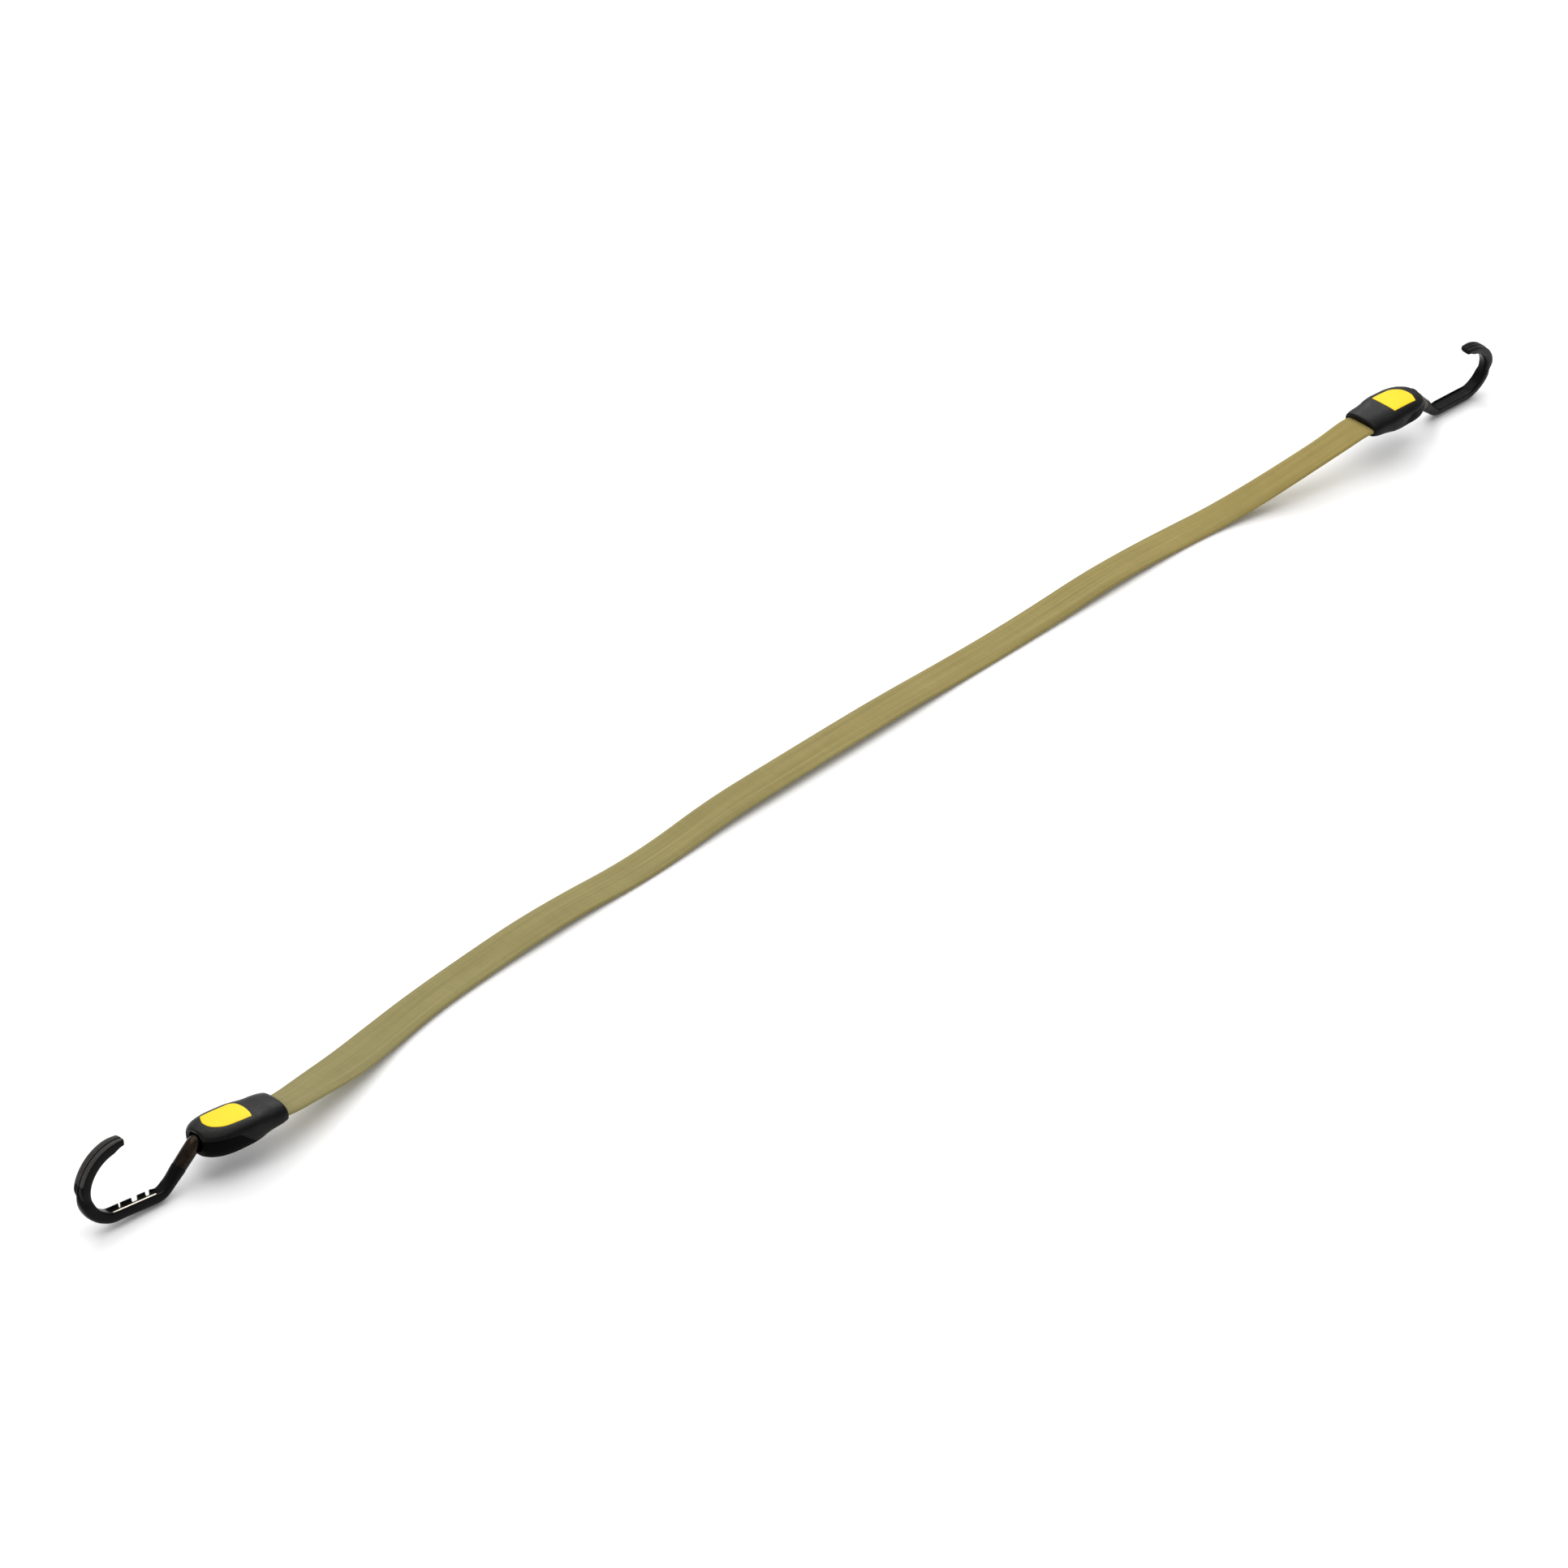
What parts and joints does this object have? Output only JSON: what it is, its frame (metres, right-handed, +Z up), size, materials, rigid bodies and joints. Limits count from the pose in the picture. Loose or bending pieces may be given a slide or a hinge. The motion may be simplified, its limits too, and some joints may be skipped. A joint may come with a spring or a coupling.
{
  "type": "flat elastic tie-down strap",
  "caption": "Flat fabric-covered elastic tie-down strap with a two-shell end housing and a swivelling overmoulded J-hook at each end.",
  "frame": {"origin": "on the floor, under the middle of the whole strap's bounding box", "axes": "+X along the strap from the left end to the right end, +Z up, hooks standing on their bottom bars"},
  "size_m": [1.2358, 0.0618, 0.0512],
  "materials": {
    "housing": "fine-grained moulded plastic, charcoal black",
    "inlay": "smooth moulded plastic, bright yellow, blank",
    "fastener": "black-oxide steel",
    "bush": "natural acetal",
    "steel": "zinc-plated steel",
    "neck": "glossy dark brown-black dipped coating",
    "jacket": "satin black overmoulded plastic",
    "sleeve": "woven khaki sleeve",
    "rubber": "natural rubber strip"
  },
  "bodies": {
    "left_end": {"left_upper_shell": "housing", "left_lower_shell": "housing", "left_inlay": "inlay", "left_shell_screws": "fastener", "left_swivel_bush": "bush", "left_strap_crimp": "steel", "left_crimp_rivets": "fastener", "strap_sleeve": "sleeve", "rubber_core": "rubber"},
    "left_hook": {"left_hook_core": "steel", "left_thrust_washer": "steel", "left_neck_sleeve": "neck", "left_hook_jacket": "jacket"},
    "right_end": {"right_upper_shell": "housing", "right_lower_shell": "housing", "right_inlay": "inlay", "right_shell_screws": "fastener", "right_swivel_bush": "bush", "right_strap_crimp": "steel", "right_crimp_rivets": "fastener"},
    "right_hook": {"right_hook_core": "steel", "right_thrust_washer": "steel", "right_neck_sleeve": "neck", "right_hook_jacket": "jacket"}
  },
  "joints": [
    {"name": "stretch", "type": "slide", "parent": "left_end", "child": "right_end", "axis": [1, 0, 0], "range_m": [0, 0.6], "stiffness_N_per_m": 150, "deforming": ["strap_sleeve", "rubber_core"]},
    {"name": "left_hook_swivel", "type": "hinge", "parent": "left_end", "child": "left_hook", "pos_m": [-0.52885, -0.01242, 0.02339], "axis": [-0.9924, 0.0921, 0.0819], "continuous": true},
    {"name": "right_hook_swivel", "type": "hinge", "parent": "right_end", "child": "right_hook", "pos_m": [0.52897, -0.00971, 0.02826], "axis": [0.9989, -0.0401, -0.0227], "continuous": true}
  ]
}
